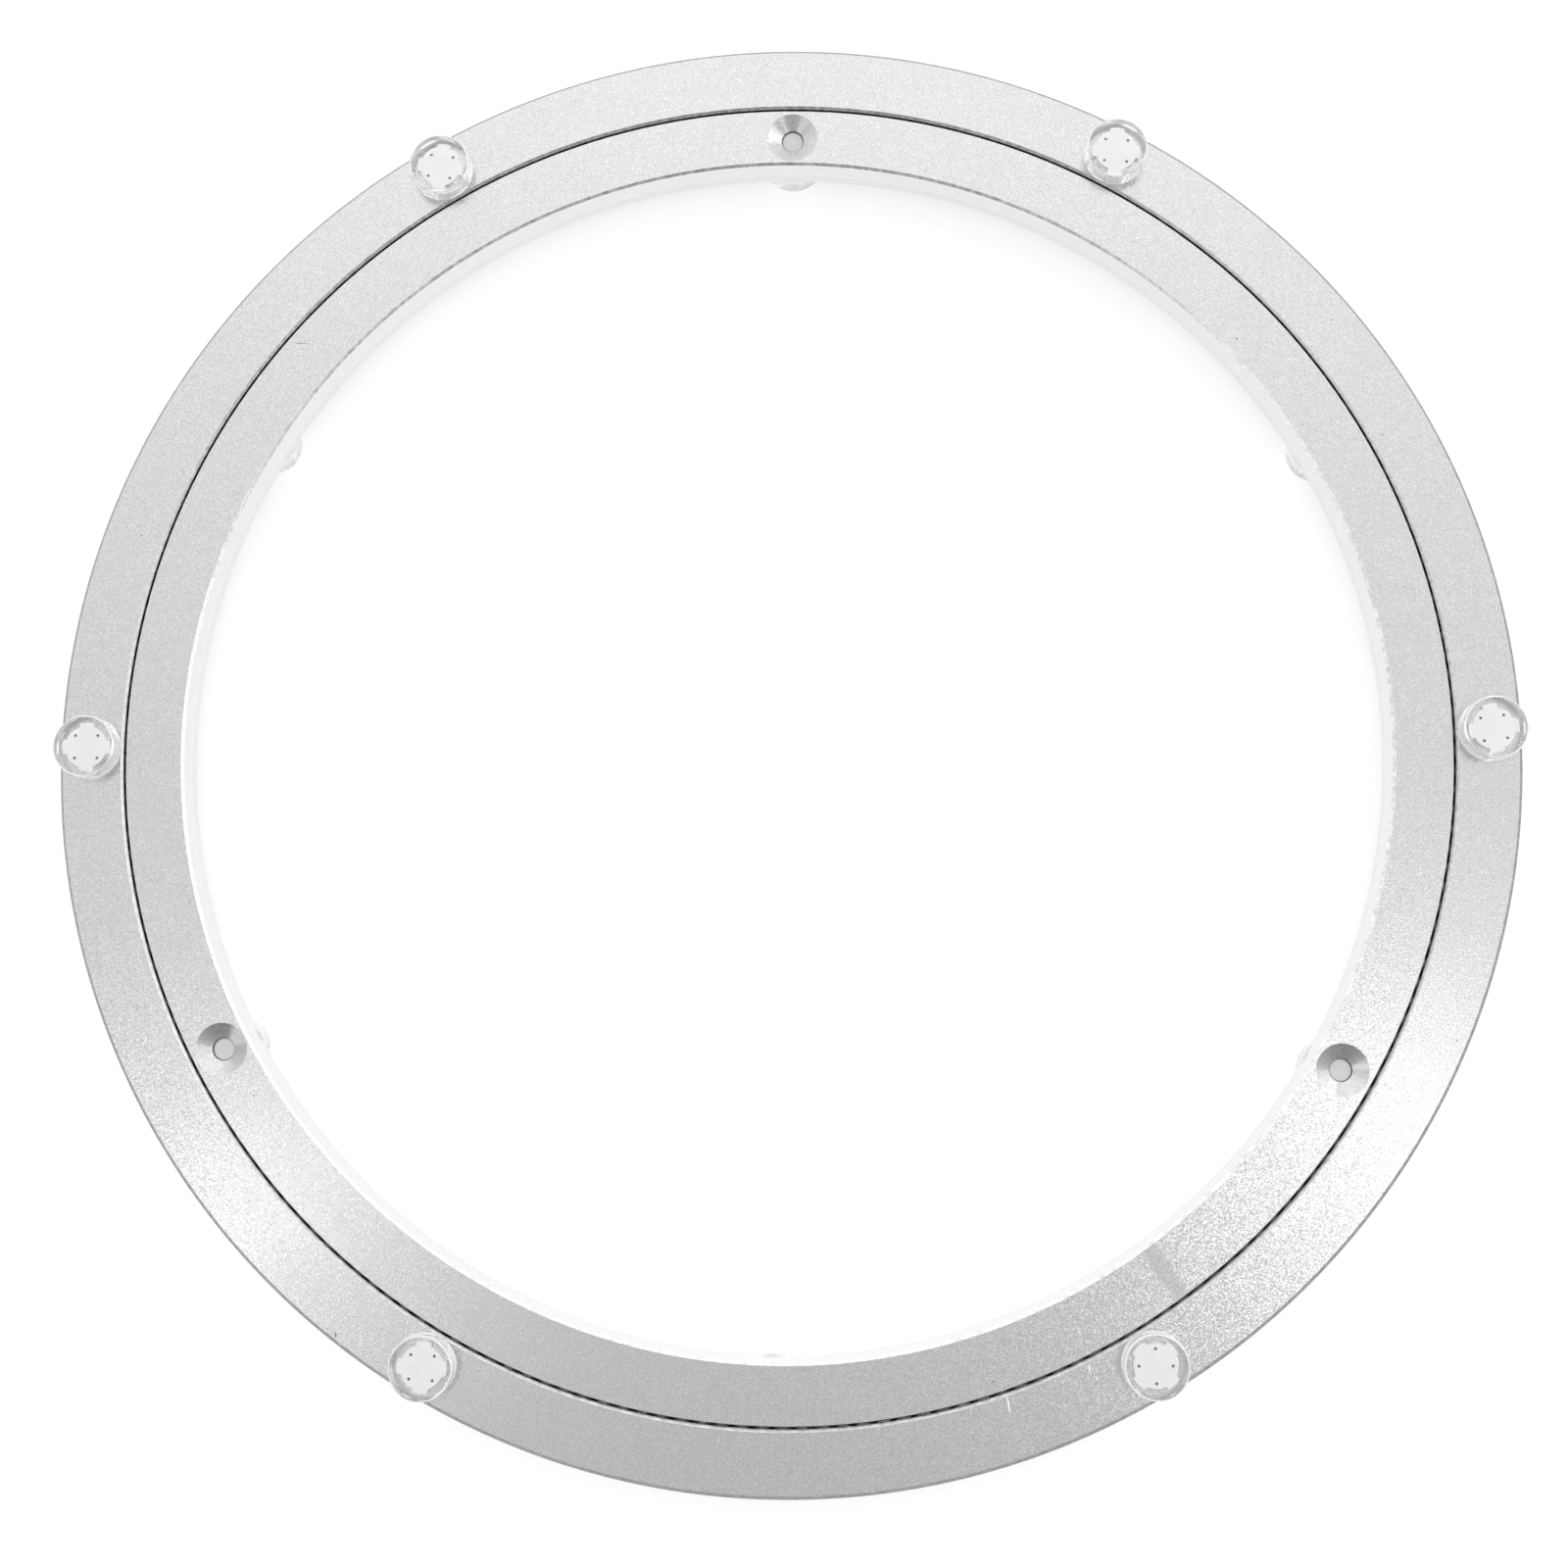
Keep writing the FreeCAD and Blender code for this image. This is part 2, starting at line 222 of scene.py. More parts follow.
def lathe(name, outline, steps, closed=True):
    """Turns an outline of (radius, height) points about Z. An open outline starts and ends on the axis."""
    work = bmesh.new()
    rows = []
    for radius, height in outline:
        if radius == 0:
            rows.append([work.verts.new((0, 0, height))] * steps)
            continue
        rows.append([
            work.verts.new((radius * math.cos(angle), radius * math.sin(angle), height))
            for angle in (2 * math.pi * step / steps for step in range(steps))
        ])
    pairs = list(zip(rows, rows[1:]))
    if closed:
        pairs.append((rows[-1], rows[0]))
    for lower, upper in pairs:
        for step in range(steps):
            after = (step + 1) % steps
            corners = dict.fromkeys((lower[step], lower[after], upper[after], upper[step]))
            work.faces.new(list(corners))
    bmesh.ops.recalc_face_normals(work, faces=work.faces)
    mesh = bpy.data.meshes.new(name)
    work.to_mesh(mesh)
    work.free()
    return new_piece(name, mesh)


def upright(name, outline, low, high):
    """A straight prism on an (x, y) outline."""
    work = bmesh.new()
    base = [work.verts.new((x, y, low)) for x, y in outline]
    lid = [work.verts.new((x, y, high)) for x, y in outline]
    work.faces.new(list(reversed(base)))
    work.faces.new(lid)
    for index in range(len(outline)):
        after = (index + 1) % len(outline)
        work.faces.new((base[index], base[after], lid[after], lid[index]))
    mesh = bpy.data.meshes.new(name)
    work.to_mesh(mesh)
    work.free()
    return new_piece(name, mesh)


def settle(piece):
    """Applies a piece's place and modifiers to its mesh."""
    bpy.context.view_layer.update()
    shape = piece.evaluated_get(bpy.context.evaluated_depsgraph_get())
    mesh = bpy.data.meshes.new_from_object(shape)
    mesh.transform(piece.matrix_world)
    piece.modifiers.clear()
    piece.data = mesh
    piece.matrix_world = Matrix.Identity(4)


def joined(name, pieces):
    """One object from several, each with its place applied."""
    work = bmesh.new()
    for piece in pieces:
        settle(piece)
        work.from_mesh(piece.data)
        bpy.data.objects.remove(piece)
    mesh = bpy.data.meshes.new(name)
    work.to_mesh(mesh)
    work.free()
    return new_piece(name, mesh)


def combine(piece, other, operation):
    """Cuts other from piece, or adds it, and removes other."""
    boolean = piece.modifiers.new("combine", "BOOLEAN")
    boolean.operation = operation
    boolean.solver = "EXACT"
    boolean.object = other
    settle(piece)
    bpy.data.objects.remove(other)


def smooth(piece):
    piece.data.shade_smooth()
    piece.data.set_sharp_from_angle(angle=math.radians(SMOOTH_UP_TO))


def ring_place(radius, angle, height=0.0):
    return Matrix.Rotation(math.radians(angle), 4, "Z") @ Matrix.Translation((radius, 0, height))


# ---- the rings --------------------------------------------------------------------------------

def inner_outline():
    low, high = RING_BOTTOM, RING_TOP
    return rounded([
        (BORE, low + EDGE_BEVEL, EDGE_ROUND),
        (BORE + EDGE_BEVEL, low, EDGE_ROUND),
        (GAP_INNER - GAP_BEVEL, low, GAP_ROUND),
        (GAP_INNER, low + GAP_BEVEL, GAP_ROUND),
        *race_corners(outward=False),
        (GAP_INNER, high - GAP_BEVEL, GAP_ROUND),
        (GAP_INNER - GAP_BEVEL, high, GAP_ROUND),
        (BORE + EDGE_BEVEL, high, EDGE_ROUND),
        (BORE, high - EDGE_BEVEL, EDGE_ROUND),
    ])


def outer_outline():
    low, high = RING_BOTTOM, RING_TOP
    return rounded([
        (OUTSIDE, high - RIM_BEVEL, EDGE_ROUND),
        (OUTSIDE - RIM_BEVEL, high, EDGE_ROUND),
        (GAP_OUTER + EDGE_BEVEL, high, EDGE_ROUND),
        (GAP_OUTER, high - EDGE_BEVEL, EDGE_ROUND),
        *reversed(race_corners(outward=True)),
        (GAP_OUTER, low + EDGE_BEVEL, EDGE_ROUND),
        (GAP_OUTER + EDGE_BEVEL, low, EDGE_ROUND),
        (OUTSIDE - RIM_BEVEL, low, EDGE_ROUND),
        (OUTSIDE, low + RIM_BEVEL, EDGE_ROUND),
    ])


def screw_cutter(name):
    """A countersunk screw hole, point down, with its cone's mouth at height 0 and fine tool ridges."""
    outline = [Vector((0, -CUT_THROUGH)), Vector((SCREW_HOLE, -CUT_THROUGH))]
    steps = TOOL_RIDGES * RIDGE_STEPS
    slope = Vector((SCREW_CONE - SCREW_HOLE, SCREW_CONE_DEPTH))
    across = Vector((-slope.y, slope.x)).normalized()
    for step in range(steps + 1):
        along = step / steps
        ridge = TOOL_RIDGE_HEIGHT * math.sin(2 * math.pi * TOOL_RIDGES * along)
        foot = Vector((SCREW_HOLE, -SCREW_CONE_DEPTH))
        outline.append(foot + slope * along + across * ridge)
    outline.append(Vector((SCREW_CONE + CUT_SPILL * slope.x / slope.y, CUT_SPILL)))
    outline.append(Vector((0, CUT_SPILL)))
    return lathe(name, outline, HOLE_STEPS, closed=False)


def socket_cutter(name):
    """A blind socket for a plug's stem, open downwards at height 0."""
    outline = rounded([(0, -CUT_SPILL, 0), (SOCKET_RADIUS, -CUT_SPILL, 0),
                       (SOCKET_RADIUS, SOCKET_DEPTH, 0), (0, SOCKET_DEPTH, 0)])
    return lathe(name, outline, HOLE_STEPS, closed=False)


def cutters_round(make_cutter, name, count, radius, first_angle, level, flipped):
    """Copies of one cutter, evenly spaced on a circle, upside down if flipped."""
    flip = Matrix.Rotation(math.pi if flipped else 0, 4, "X")
    cutters = []
    for index in range(count):
        cutter = make_cutter(f"{name}_{index}")
        angle = first_angle + index * TURN / count
        cutter.matrix_world = ring_place(radius, angle, level) @ flip
        cutters.append(cutter)
    return cutters


def screw_cutters(radius, first_angle, level, below):
    return cutters_round(screw_cutter, "screw_cutter", SCREW_COUNT, radius, first_angle, level, flipped=below)


def socket_cutters(radius, first_angle, level, below):
    return cutters_round(socket_cutter, "socket_cutter", PAD_COUNT, radius, first_angle, level,
                         flipped=not below)


def filler_cutter():
    """The radial hole in the outer ring that the balls are loaded through."""
    length = OUTSIDE - BALL_CIRCLE
    outline = [Vector((0, 0)), Vector((FILLER_RADIUS, 0)),
               Vector((FILLER_RADIUS, 2 * length)), Vector((0, 2 * length))]
    cutter = lathe("filler_cutter", outline, HOLE_STEPS, closed=False)
    lying = Matrix.Rotation(math.pi / 2, 4, "Y")
    cutter.matrix_world = ring_place(BALL_CIRCLE, FILLER_ANGLE, RING_MIDDLE) @ lying
    return cutter


def make_ring(name, outline, screws, sockets, filler=None):
    """A ring with its screw holes, then its stem sockets, then any filler hole cut out."""
    ring = lathe(name, outline, RING_STEPS)
    combine(ring, joined("screw_cutter", screws), "DIFFERENCE")
    combine(ring, joined("socket_cutter", sockets), "DIFFERENCE")
    if filler:
        combine(ring, filler, "DIFFERENCE")
    smooth(ring)
    return ring


# ---- the pads ---------------------------------------------------------------------------------

def make_plug():
    """A toothed head on a round stem. The ring's face is at height 0, and the head stands above it."""
    head = upright("plug", head_outline(), TINY, HEAD_HEIGHT)
    bevel = head.modifiers.new("bevel", "BEVEL")
    bevel.width = HEAD_BEVEL
    bevel.segments = HEAD_BEVEL_STEPS
    bevel.limit_method = "ANGLE"
    bevel.angle_limit = math.radians(HEAD_BEVEL_ABOVE)
    settle(head)
    stem = lathe("stem", rounded([
        (0, -STEM_LENGTH, 0),
        (STEM_RADIUS - STEM_BEVEL, -STEM_LENGTH, HEAD_BEVEL),
        (STEM_RADIUS, -STEM_LENGTH + STEM_BEVEL, HEAD_BEVEL),
        (STEM_RADIUS, HEAD_HEIGHT / 2, 0),
        (0, HEAD_HEIGHT / 2, 0),
    ]), PAD_STEPS, closed=False)
    combine(head, stem, "UNION")
    cutters = []
    for index in range(LUG_COUNT):
        cutter = lathe(f"dimple_{index}", rounded([
            (0, HEAD_HEIGHT - DIMPLE_DEPTH, 0),
            (DIMPLE_RADIUS, HEAD_HEIGHT - DIMPLE_DEPTH, DIMPLE_RADIUS / 2),
            (DIMPLE_RADIUS, HEAD_HEIGHT + DIMPLE_RADIUS, 0),
            (0, HEAD_HEIGHT + DIMPLE_RADIUS, 0),
        ]), DIMPLE_STEPS, closed=False)
        cutter.matrix_world = ring_place(DIMPLE_CIRCLE, (index + 0.5) * TURN / LUG_COUNT)
        cutters.append(cutter)
    combine(head, joined("dimples", cutters), "DIFFERENCE")
    smooth(head)
    return head


def make_cover():
    """A clear round pad, hollowed underneath to take the plug's head."""
    rim = PAD_RADIUS - PAD_HEIGHT * math.tan(math.radians(PAD_DRAFT))
    cover = lathe("cover", rounded([
        (0, TINY, 0),
        (PAD_RADIUS, TINY, PAD_FOOT_ROUND),
        (rim, PAD_HEIGHT, PAD_ROUND),
        (0, PAD_HEIGHT, 0),
    ], steps=PAD_ROUND_STEPS), PAD_STEPS, closed=False)
    recess = upright("recess", head_outline(RECESS_GAP), -HEAD_HEIGHT, HEAD_HEIGHT + RECESS_GAP)
    combine(cover, recess, "DIFFERENCE")
    smooth(cover)
    return cover


def finish_cover(cover):
    """A clear pad with a milky outer side, which also has a faint painted glow."""
    cover.data.materials.append(clear_plastic("clear_plastic", 0.03, 0.07, 0.04, 0))
    cover.data.materials.append(clear_plastic("milky_plastic_painted_glow", 0.04, 0.09, 0.38, 0.10))
    for face in cover.data.polygons:
        centre = face.center
        outer_side = abs(face.normal.z) < SIDE_TILT and math.hypot(centre.x, centre.y) > SIDE_FROM
        face.material_index = 1 if outer_side else 0


def finish_plug(plug):
    """A white head with a faint painted glow, dimples painted dark as shade, on a stem painted greyer as
    shade.
    """
    # Painted light: the head glows faintly. Painted shade: the dimples are near black and the stem is grey.
    plug.data.materials.append(white_plastic("white_plastic", 0.93, 0.97, 0.12))
    plug.data.materials.append(white_plastic("dimple_painted_shade", 0.14, 0.22, 0))
    plug.data.materials.append(white_plastic("stem_painted_shade", 0.50, 0.60, 0))
    for face in plug.data.polygons:
        centre = face.center
        distance = math.hypot(abs(centre.x) - DIMPLE_PLACE, abs(centre.y) - DIMPLE_PLACE)
        if distance < DIMPLE_REACH and centre.z < HEAD_HEIGHT - DIMPLE_LIP:
            face.material_index = 1
        elif centre.z < 0:
            face.material_index = 2


def stand_pads(prefix, body, radius, first_angle, level, turns, below, cover_mesh, plug_mesh):
    """Six pads on a ring's face, each a cover and a plug, on top of it or upside down under it."""
    flip = Matrix.Rotation(math.pi if below else 0, 4, "X")
    for index, turn in enumerate(turns):
        angle = first_angle + index * TURN / PAD_COUNT
        place = ring_place(radius, angle, level) @ flip @ Matrix.Rotation(math.radians(turn), 4, "Z")
        for kind, mesh, slot in (("cover", cover_mesh, "pad_clear"), ("plug", plug_mesh, "plug_white")):
            piece = new_piece(f"{prefix}_{kind}_{index + 1}", mesh.copy())
            piece.data.transform(place)
            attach(piece, body)
            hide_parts(f"{prefix}_pad_{kind}_{index + 1}")


# ---- materials --------------------------------------------------------------------------------

class Shader:
    """A node material while it is being made."""

    def __init__(self, name):
        self.material = bpy.data.materials.new(name)
        self.material.use_nodes = True
        self.tree = self.material.node_tree
        self.surface = self.tree.nodes["Principled BSDF"]

    def feed(self, socket, value):
        if isinstance(value, bpy.types.NodeSocket):
            self.tree.links.new(value, socket)
        else:
            socket.default_value = value

    def node(self, kind, inputs=None, **settings):
        made = self.tree.nodes.new("ShaderNode" + kind)
        for name, value in settings.items():
            setattr(made, name, value)
        for name, value in (inputs or {}).items():
            self.feed(made.inputs[name], value)
        return made

    def maths(self, operation, *values, clamp=False):
        made = self.node("Math", operation=operation, use_clamp=clamp)
        for socket, value in zip(made.inputs, values):
            self.feed(socket, value)
        return made.outputs[0]

    def vector(self, operation, *values):
        made = self.node("VectorMath", operation=operation)
        sockets = [s for s in made.inputs if s.type == "VECTOR"]
        for socket, value in zip(sockets, values):
            self.feed(socket, value)
        return made

    def scaled(self, vector, amount):
        made = self.vector("SCALE", vector)
        self.feed(made.inputs["Scale"], amount)
        return made.outputs[0]

    def place(self):
        return self.node("TexCoord").outputs["Object"]

    def noise(self, place, size, detail=2.0, roughness=0.5):
        """Cloudy noise whose features are about size across."""
        return self.node("TexNoise", {"Vector": place, "Scale": 1 / size, "Detail": detail,
                                      "Roughness": roughness})

    def grains(self, place, size):
        """Cells about size across, each with its own random colour."""
        return self.node("TexVoronoi", {"Vector": place, "Scale": 1 / size})

    def spread(self, value, low, high, new_low, new_high):
        made = self.node("MapRange", {"Value": value, "From Min": low, "From Max": high,
                                      "To Min": new_low, "To Max": new_high})
        return made.outputs["Result"]

    def blend(self, share, first, second):
        made = self.node("Mix", data_type="RGBA")
        self.feed(made.inputs["Factor"], share)
        colours = [s for s in made.inputs if s.type == "RGBA"]
        self.feed(colours[0], first)
        self.feed(colours[1], second)
        return next(s for s in made.outputs if s.type == "RGBA")

    def tilted(self, colour, amount):
        """The surface's normal, tilted at random by a colour."""
        centred = self.vector("SUBTRACT", colour, (0.5, 0.5, 0.5)).outputs[0]
        normal = self.node("NewGeometry").outputs["Normal"]
        leaning = self.vector("ADD", normal, self.scaled(centred, amount)).outputs[0]
        return self.vector("NORMALIZE", leaning).outputs[0]

    def bump(self, height, distance, strength=1.0, normal=None):
        made = self.node("Bump", {"Height": height, "Distance": distance, "Strength": strength})
        if normal is not None:
            self.feed(made.inputs["Normal"], normal)
        return made.outputs["Normal"]

    def mottled(self, noise, lowest, highest):
        """A cloudy noise stretched to run between two values."""
        return self.spread(noise, 0.3, 0.7, lowest, highest)

    def mark(self, place, angle, radius, along, across, heading=0.0):
        """A soft-edged mark on a ring: 1 at its middle and 0 outside an ellipse. Heading 0 is radial."""
        middle = ring_place(radius, angle, RING_TOP).to_translation()
        turn = math.radians(angle + heading)
        mapping = self.node("Mapping", {"Vector": place, "Location": middle, "Rotation": (0, 0, turn),
                                        "Scale": (along / 2, across / 2, MARK_DEPTH)}, vector_type="TEXTURE")
        ball = self.node("TexGradient", {"Vector": mapping.outputs[0]}, gradient_type="SPHERICAL")
        return ball.outputs["Fac"]

    def any_of(self, masks):
        total = masks[0]
        for mask in masks[1:]:
            total = self.maths("MAXIMUM", total, mask)
        return total

    def finish(self, **values):
        for name, value in values.items():
            self.feed(self.surface.inputs[name.replace("_", " ")], value)
        return self.material


def grey(level):
    return (level, level, level, 1)


WHITE = (1, 1, 1, 1)
MARK_DEPTH = 1 * MM
GRAIN = 0.28 * MM
GRAIN_TILT = 0.38
FINE_GRAIN = 0.09 * MM
CLOUDS = 30 * MM
PATCHES = 5 * MM
SPECK_SPACING = 7 * MM
SPARKLE = 0.38 * MM
SPARKLE_SHARE = 0.3          # how far a spark's painted glint lifts the grey towards near white
SCRATCH_STRENGTH = 4
TICK_STRENGTH = 2
SPECK_STRENGTH = 0.6
SEAM_STRENGTH = 2.2
SEAM_SHARE = 0.5             # how far the seam's grey shows
SEAM_CALM = 0.7              # how far the seam's grains lie flatter
BRIGHT = grey(0.58)
DULL = grey(0.44)
GLINT = grey(0.95)
SEAM_GREY = grey(0.36)
DARK = grey(0.10)


def blasted_aluminium(name, scratches, ticks, seam=False):
    """Bead-blasted and anodised: fine sparkling grains with painted glints, faint clouds, the marks of
    handling, and any seam.
    """
    shader = Shader(name)
    place = shader.place()
    grain = shader.noise(place, GRAIN, 3, 0.6)
    clouds = shader.noise(place, CLOUDS, 3).outputs["Fac"]
    patches = shader.noise(place, PATCHES, 2).outputs["Fac"]
    colour = shader.blend(shader.spread(grain.outputs["Fac"], 0.35, 0.65, 0, 1), DULL, BRIGHT)
    # Painted glints: scattered grains, denser in some patches, have their grey lifted towards near white.
    beads = shader.grains(place, SPARKLE)
    chance = shader.node("SeparateColor", {"Color": beads.outputs["Color"]}).outputs[0]
    rarity = shader.spread(patches, 0.35, 0.65, 0.95, 0.65)
    spark = shader.maths("MULTIPLY", shader.maths("GREATER_THAN", chance, rarity),
                         shader.spread(beads.outputs["Distance"], 0.2, 0.5, 1, 0))
    colour = shader.blend(shader.maths("MULTIPLY", spark, SPARKLE_SHARE), colour, GLINT)
    roughness = shader.mottled(clouds, 0.23, 0.27)
    tilt = GRAIN_TILT
    if seam:
        band = shader.mark(place, SEAM_ANGLE, SEAM_CIRCLE, SEAM_LENGTH, SEAM_WIDTH)
        mask = shader.maths("SMOOTH_MIN", shader.maths("MULTIPLY", band, SEAM_STRENGTH), 1.0, 0.5)
        colour = shader.blend(shader.maths("MULTIPLY", mask, SEAM_SHARE), colour, SEAM_GREY)
        flatter = shader.maths("SUBTRACT", 1.0, shader.maths("MULTIPLY", mask, SEAM_CALM))
        tilt = shader.maths("MULTIPLY", flatter, GRAIN_TILT)
    white = shader.any_of([shader.mark(place, *scratch) for scratch in scratches])
    white = shader.maths("MULTIPLY", white, SCRATCH_STRENGTH, clamp=True)
    black = shader.any_of([shader.mark(place, *tick) for tick in ticks])
    black = shader.maths("MULTIPLY", black, TICK_STRENGTH, clamp=True)
    specks = shader.spread(shader.grains(place, SPECK_SPACING).outputs["Distance"], 0.02, 0.035, 1, 0)
    black = shader.maths("MAXIMUM", black, shader.maths("MULTIPLY", specks, SPECK_STRENGTH))
    colour = shader.blend(white, colour, WHITE)
    colour = shader.blend(black, colour, DARK)
    normal = shader.tilted(grain.outputs["Color"], tilt)
    fine = shader.noise(place, FINE_GRAIN, 1).outputs["Fac"]
    normal = shader.bump(fine, 0.004 * MM, 0.5, normal)
    return shader.finish(
        Base_Color=colour, Roughness=roughness, Normal=normal,
        Metallic=shader.maths("SUBTRACT", 1.0, white))


TOOL_PITCH = 0.16 * MM
CHATTER_COUNT = 47


def machined_aluminium(name, circle, first_angle):
    """A countersink's bright cut face: fine rings about its own hole, and a little chatter."""
    shader = Shader(name)
    place = shader.place()
    parts = shader.node("SeparateXYZ", {"Vector": place})
    angle = shader.maths("ARCTAN2", parts.outputs["Y"], parts.outputs["X"])
    apart = 2 * math.pi / SCREW_COUNT
    first = math.radians(first_angle)
    steps = shader.maths("ROUND", shader.maths("DIVIDE", shader.maths("SUBTRACT", angle, first), apart))
    nearest = shader.maths("ADD", shader.maths("MULTIPLY", steps, apart), first)
    centre = shader.node("CombineXYZ", {
        "X": shader.maths("MULTIPLY", shader.maths("COSINE", nearest), circle),
        "Y": shader.maths("MULTIPLY", shader.maths("SINE", nearest), circle)}).outputs[0]
    offset = shader.vector("SUBTRACT", place, centre).outputs[0]
    outward = shader.vector("MULTIPLY", offset, (1, 1, 0)).outputs[0]
    distance = shader.vector("LENGTH", outward).outputs["Value"]
    local = shader.node("SeparateXYZ", {"Vector": outward})
    around = shader.maths("ARCTAN2", local.outputs["Y"], local.outputs["X"])
    wobble = shader.noise(place, 0.8 * MM, 2).outputs["Fac"]
    out = shader.maths("MULTIPLY", distance, 2 * math.pi / TOOL_PITCH)
    rings = shader.maths("SINE", shader.maths("ADD", out, shader.maths("MULTIPLY", wobble, 4)))
    turned = shader.maths("MULTIPLY", around, CHATTER_COUNT)
    chatter = shader.maths("SINE", shader.maths("ADD", turned, shader.maths("MULTIPLY", wobble, 9)))
    height = shader.maths("ADD", rings, shader.maths("MULTIPLY", chatter, 0.5))
    normal = shader.bump(height, 0.0015 * MM)
    grain = shader.grains(place, 0.3 * MM)
    share = shader.node("SeparateColor", {"Color": grain.outputs["Color"]}).outputs[0]
    colour = shader.blend(share, grey(0.50), grey(0.62))
    roughness = shader.mottled(wobble, 0.26, 0.36)
    return shader.finish(Base_Color=colour, Roughness=roughness, Normal=normal, Metallic=1.0,
                         Anisotropic=0.85, Tangent=outward)


def cut_edge(name, dark, light, smoothest, roughest):
    """A bevel turned after blasting: smoother, mottled between two greys, with fine lines round it."""
    shader = Shader(name)
    place = shader.place()
    height = shader.node("SeparateXYZ", {"Vector": place}).outputs["Z"]
    outward = shader.vector("MULTIPLY", place, (1, 1, 0)).outputs[0]
    radius = shader.vector("LENGTH", outward).outputs["Value"]
    lines = shader.node("CombineXYZ", {"X": radius, "Z": height}).outputs[0]
    fine = shader.noise(lines, 0.05 * MM, 2).outputs["Fac"]
    wear = shader.noise(place, 1.2 * MM, 3).outputs["Fac"]
    colour = shader.blend(shader.spread(wear, 0.35, 0.65, 0, 1), grey(dark), grey(light))
    return shader.finish(Base_Color=colour, Metallic=1.0,
                         Roughness=shader.mottled(wear, smoothest, roughest),
                         Normal=shader.bump(fine, 0.004 * MM))


def turned_wall(name, dark, light):
    """A ring's upright face, turned, with lines between two greys running round it."""
    shader = Shader(name)
    place = shader.place()
    height = shader.node("CombineXYZ", {
        "Z": shader.node("SeparateXYZ", {"Vector": place}).outputs["Z"]}).outputs[0]
    lines = shader.noise(height, 0.9 * MM, 4, 0.6).outputs["Fac"]
    wear = shader.noise(place, 2.5 * MM, 3).outputs["Fac"]
    share = shader.maths("ADD", shader.spread(lines, 0.35, 0.6, 0, 0.8), shader.mottled(wear, 0, 0.2))
    colour = shader.blend(share, grey(dark), grey(light))
    return shader.finish(Base_Color=colour, Metallic=1.0, Roughness=shader.mottled(wear, 0.26, 0.36),
                         Normal=shader.bump(shader.noise(height, 0.08 * MM, 2).outputs["Fac"], 0.004 * MM))


def race_steel_painted_shade(name):
    """The ground race inside the gap, painted near black and mottled: painted shade of the narrow gap."""
    shader = Shader(name)
    place = shader.place()
    race_mottle = shader.noise(place, 3 * MM, 4).outputs["Fac"]
    colour = shader.blend(race_mottle, grey(0.08), grey(0.20))
    return shader.finish(Base_Color=colour, Metallic=1.0, Roughness=shader.mottled(race_mottle, 0.25, 0.45),
                         Normal=shader.bump(shader.noise(place, 0.2 * MM, 2).outputs["Fac"], 0.004 * MM))


def ball_steel():
    """Polished balls with a light film of oil."""
    shader = Shader("polished_steel")
    place = shader.place()
    film = shader.noise(place, 1.5 * MM, 3).outputs["Fac"]
    colour = shader.blend(film, (0.74, 0.74, 0.75, 1), grey(0.88))
    return shader.finish(Base_Color=colour, Metallic=1.0, Roughness=shader.mottled(film, 0.06, 0.16),
                         Normal=shader.bump(shader.noise(place, 0.3 * MM, 2).outputs["Fac"], 0.0012 * MM))


def turned_aluminium():
    """The filler plug's bare turned end."""
    shader = Shader("turned_aluminium")
    place = shader.place()
    angle = math.radians(FILLER_ANGLE)
    axis = (BALL_CIRCLE * math.cos(angle), BALL_CIRCLE * math.sin(angle), RING_MIDDLE)
    mapping = shader.node("Mapping", {"Vector": place, "Location": axis, "Rotation": (0, 0, angle)},
                          vector_type="TEXTURE").outputs[0]
    spread = shader.vector("MULTIPLY", mapping, (0, 1, 1)).outputs[0]
    distance = shader.vector("LENGTH", spread).outputs["Value"]
    rings = shader.maths("SINE", shader.maths("MULTIPLY", distance, 2 * math.pi / (0.14 * MM)))
    wear = shader.noise(place, 0.7 * MM, 3).outputs["Fac"]
    colour = shader.blend(wear, (0.38, 0.38, 0.39, 1), grey(0.52))
    return shader.finish(Base_Color=colour, Metallic=1.0, Roughness=shader.mottled(wear, 0.22, 0.36),
                         Normal=shader.bump(rings, 0.003 * MM))


def clear_plastic(name, clear, cloudy, milkiness, glow):
    """Clear soft plastic, a little milky: slightly wavy from its mould, with a faint bloom of handling. A
    glow above 0 is a painted glow.
    """
    shader = Shader(name)
    place = shader.place()
    ripple = shader.noise(place, 1.6 * MM, 2).outputs["Fac"]
    bloom = shader.noise(place, 0.35 * MM, 3).outputs["Fac"]
    colour = shader.blend(bloom, grey(0.985), WHITE)
    roughness = shader.spread(bloom, 0.35, 0.75, clear, cloudy)
    return shader.finish(Base_Color=colour, Roughness=roughness, IOR=1.49, Transmission_Weight=1 - milkiness,
                         Emission_Color=WHITE, Emission_Strength=glow, Normal=shader.bump(ripple, 0.004 * MM))


def white_plastic(name, dark, light, glow):
    """The frosted white moulding of the toothed plugs. A glow above 0 is a painted glow."""
    shader = Shader(name)
    place = shader.place()
    frost = shader.noise(place, 0.12 * MM, 2).outputs["Fac"]
    clouds = shader.noise(place, 2.5 * MM, 2).outputs["Fac"]
    colour = shader.blend(clouds, grey(dark), grey(light))
    return shader.finish(Base_Color=colour, Roughness=shader.mottled(clouds, 0.38, 0.5), IOR=1.5,
                         Emission_Color=WHITE, Emission_Strength=glow,
                         Normal=shader.bump(frost, 0.006 * MM))


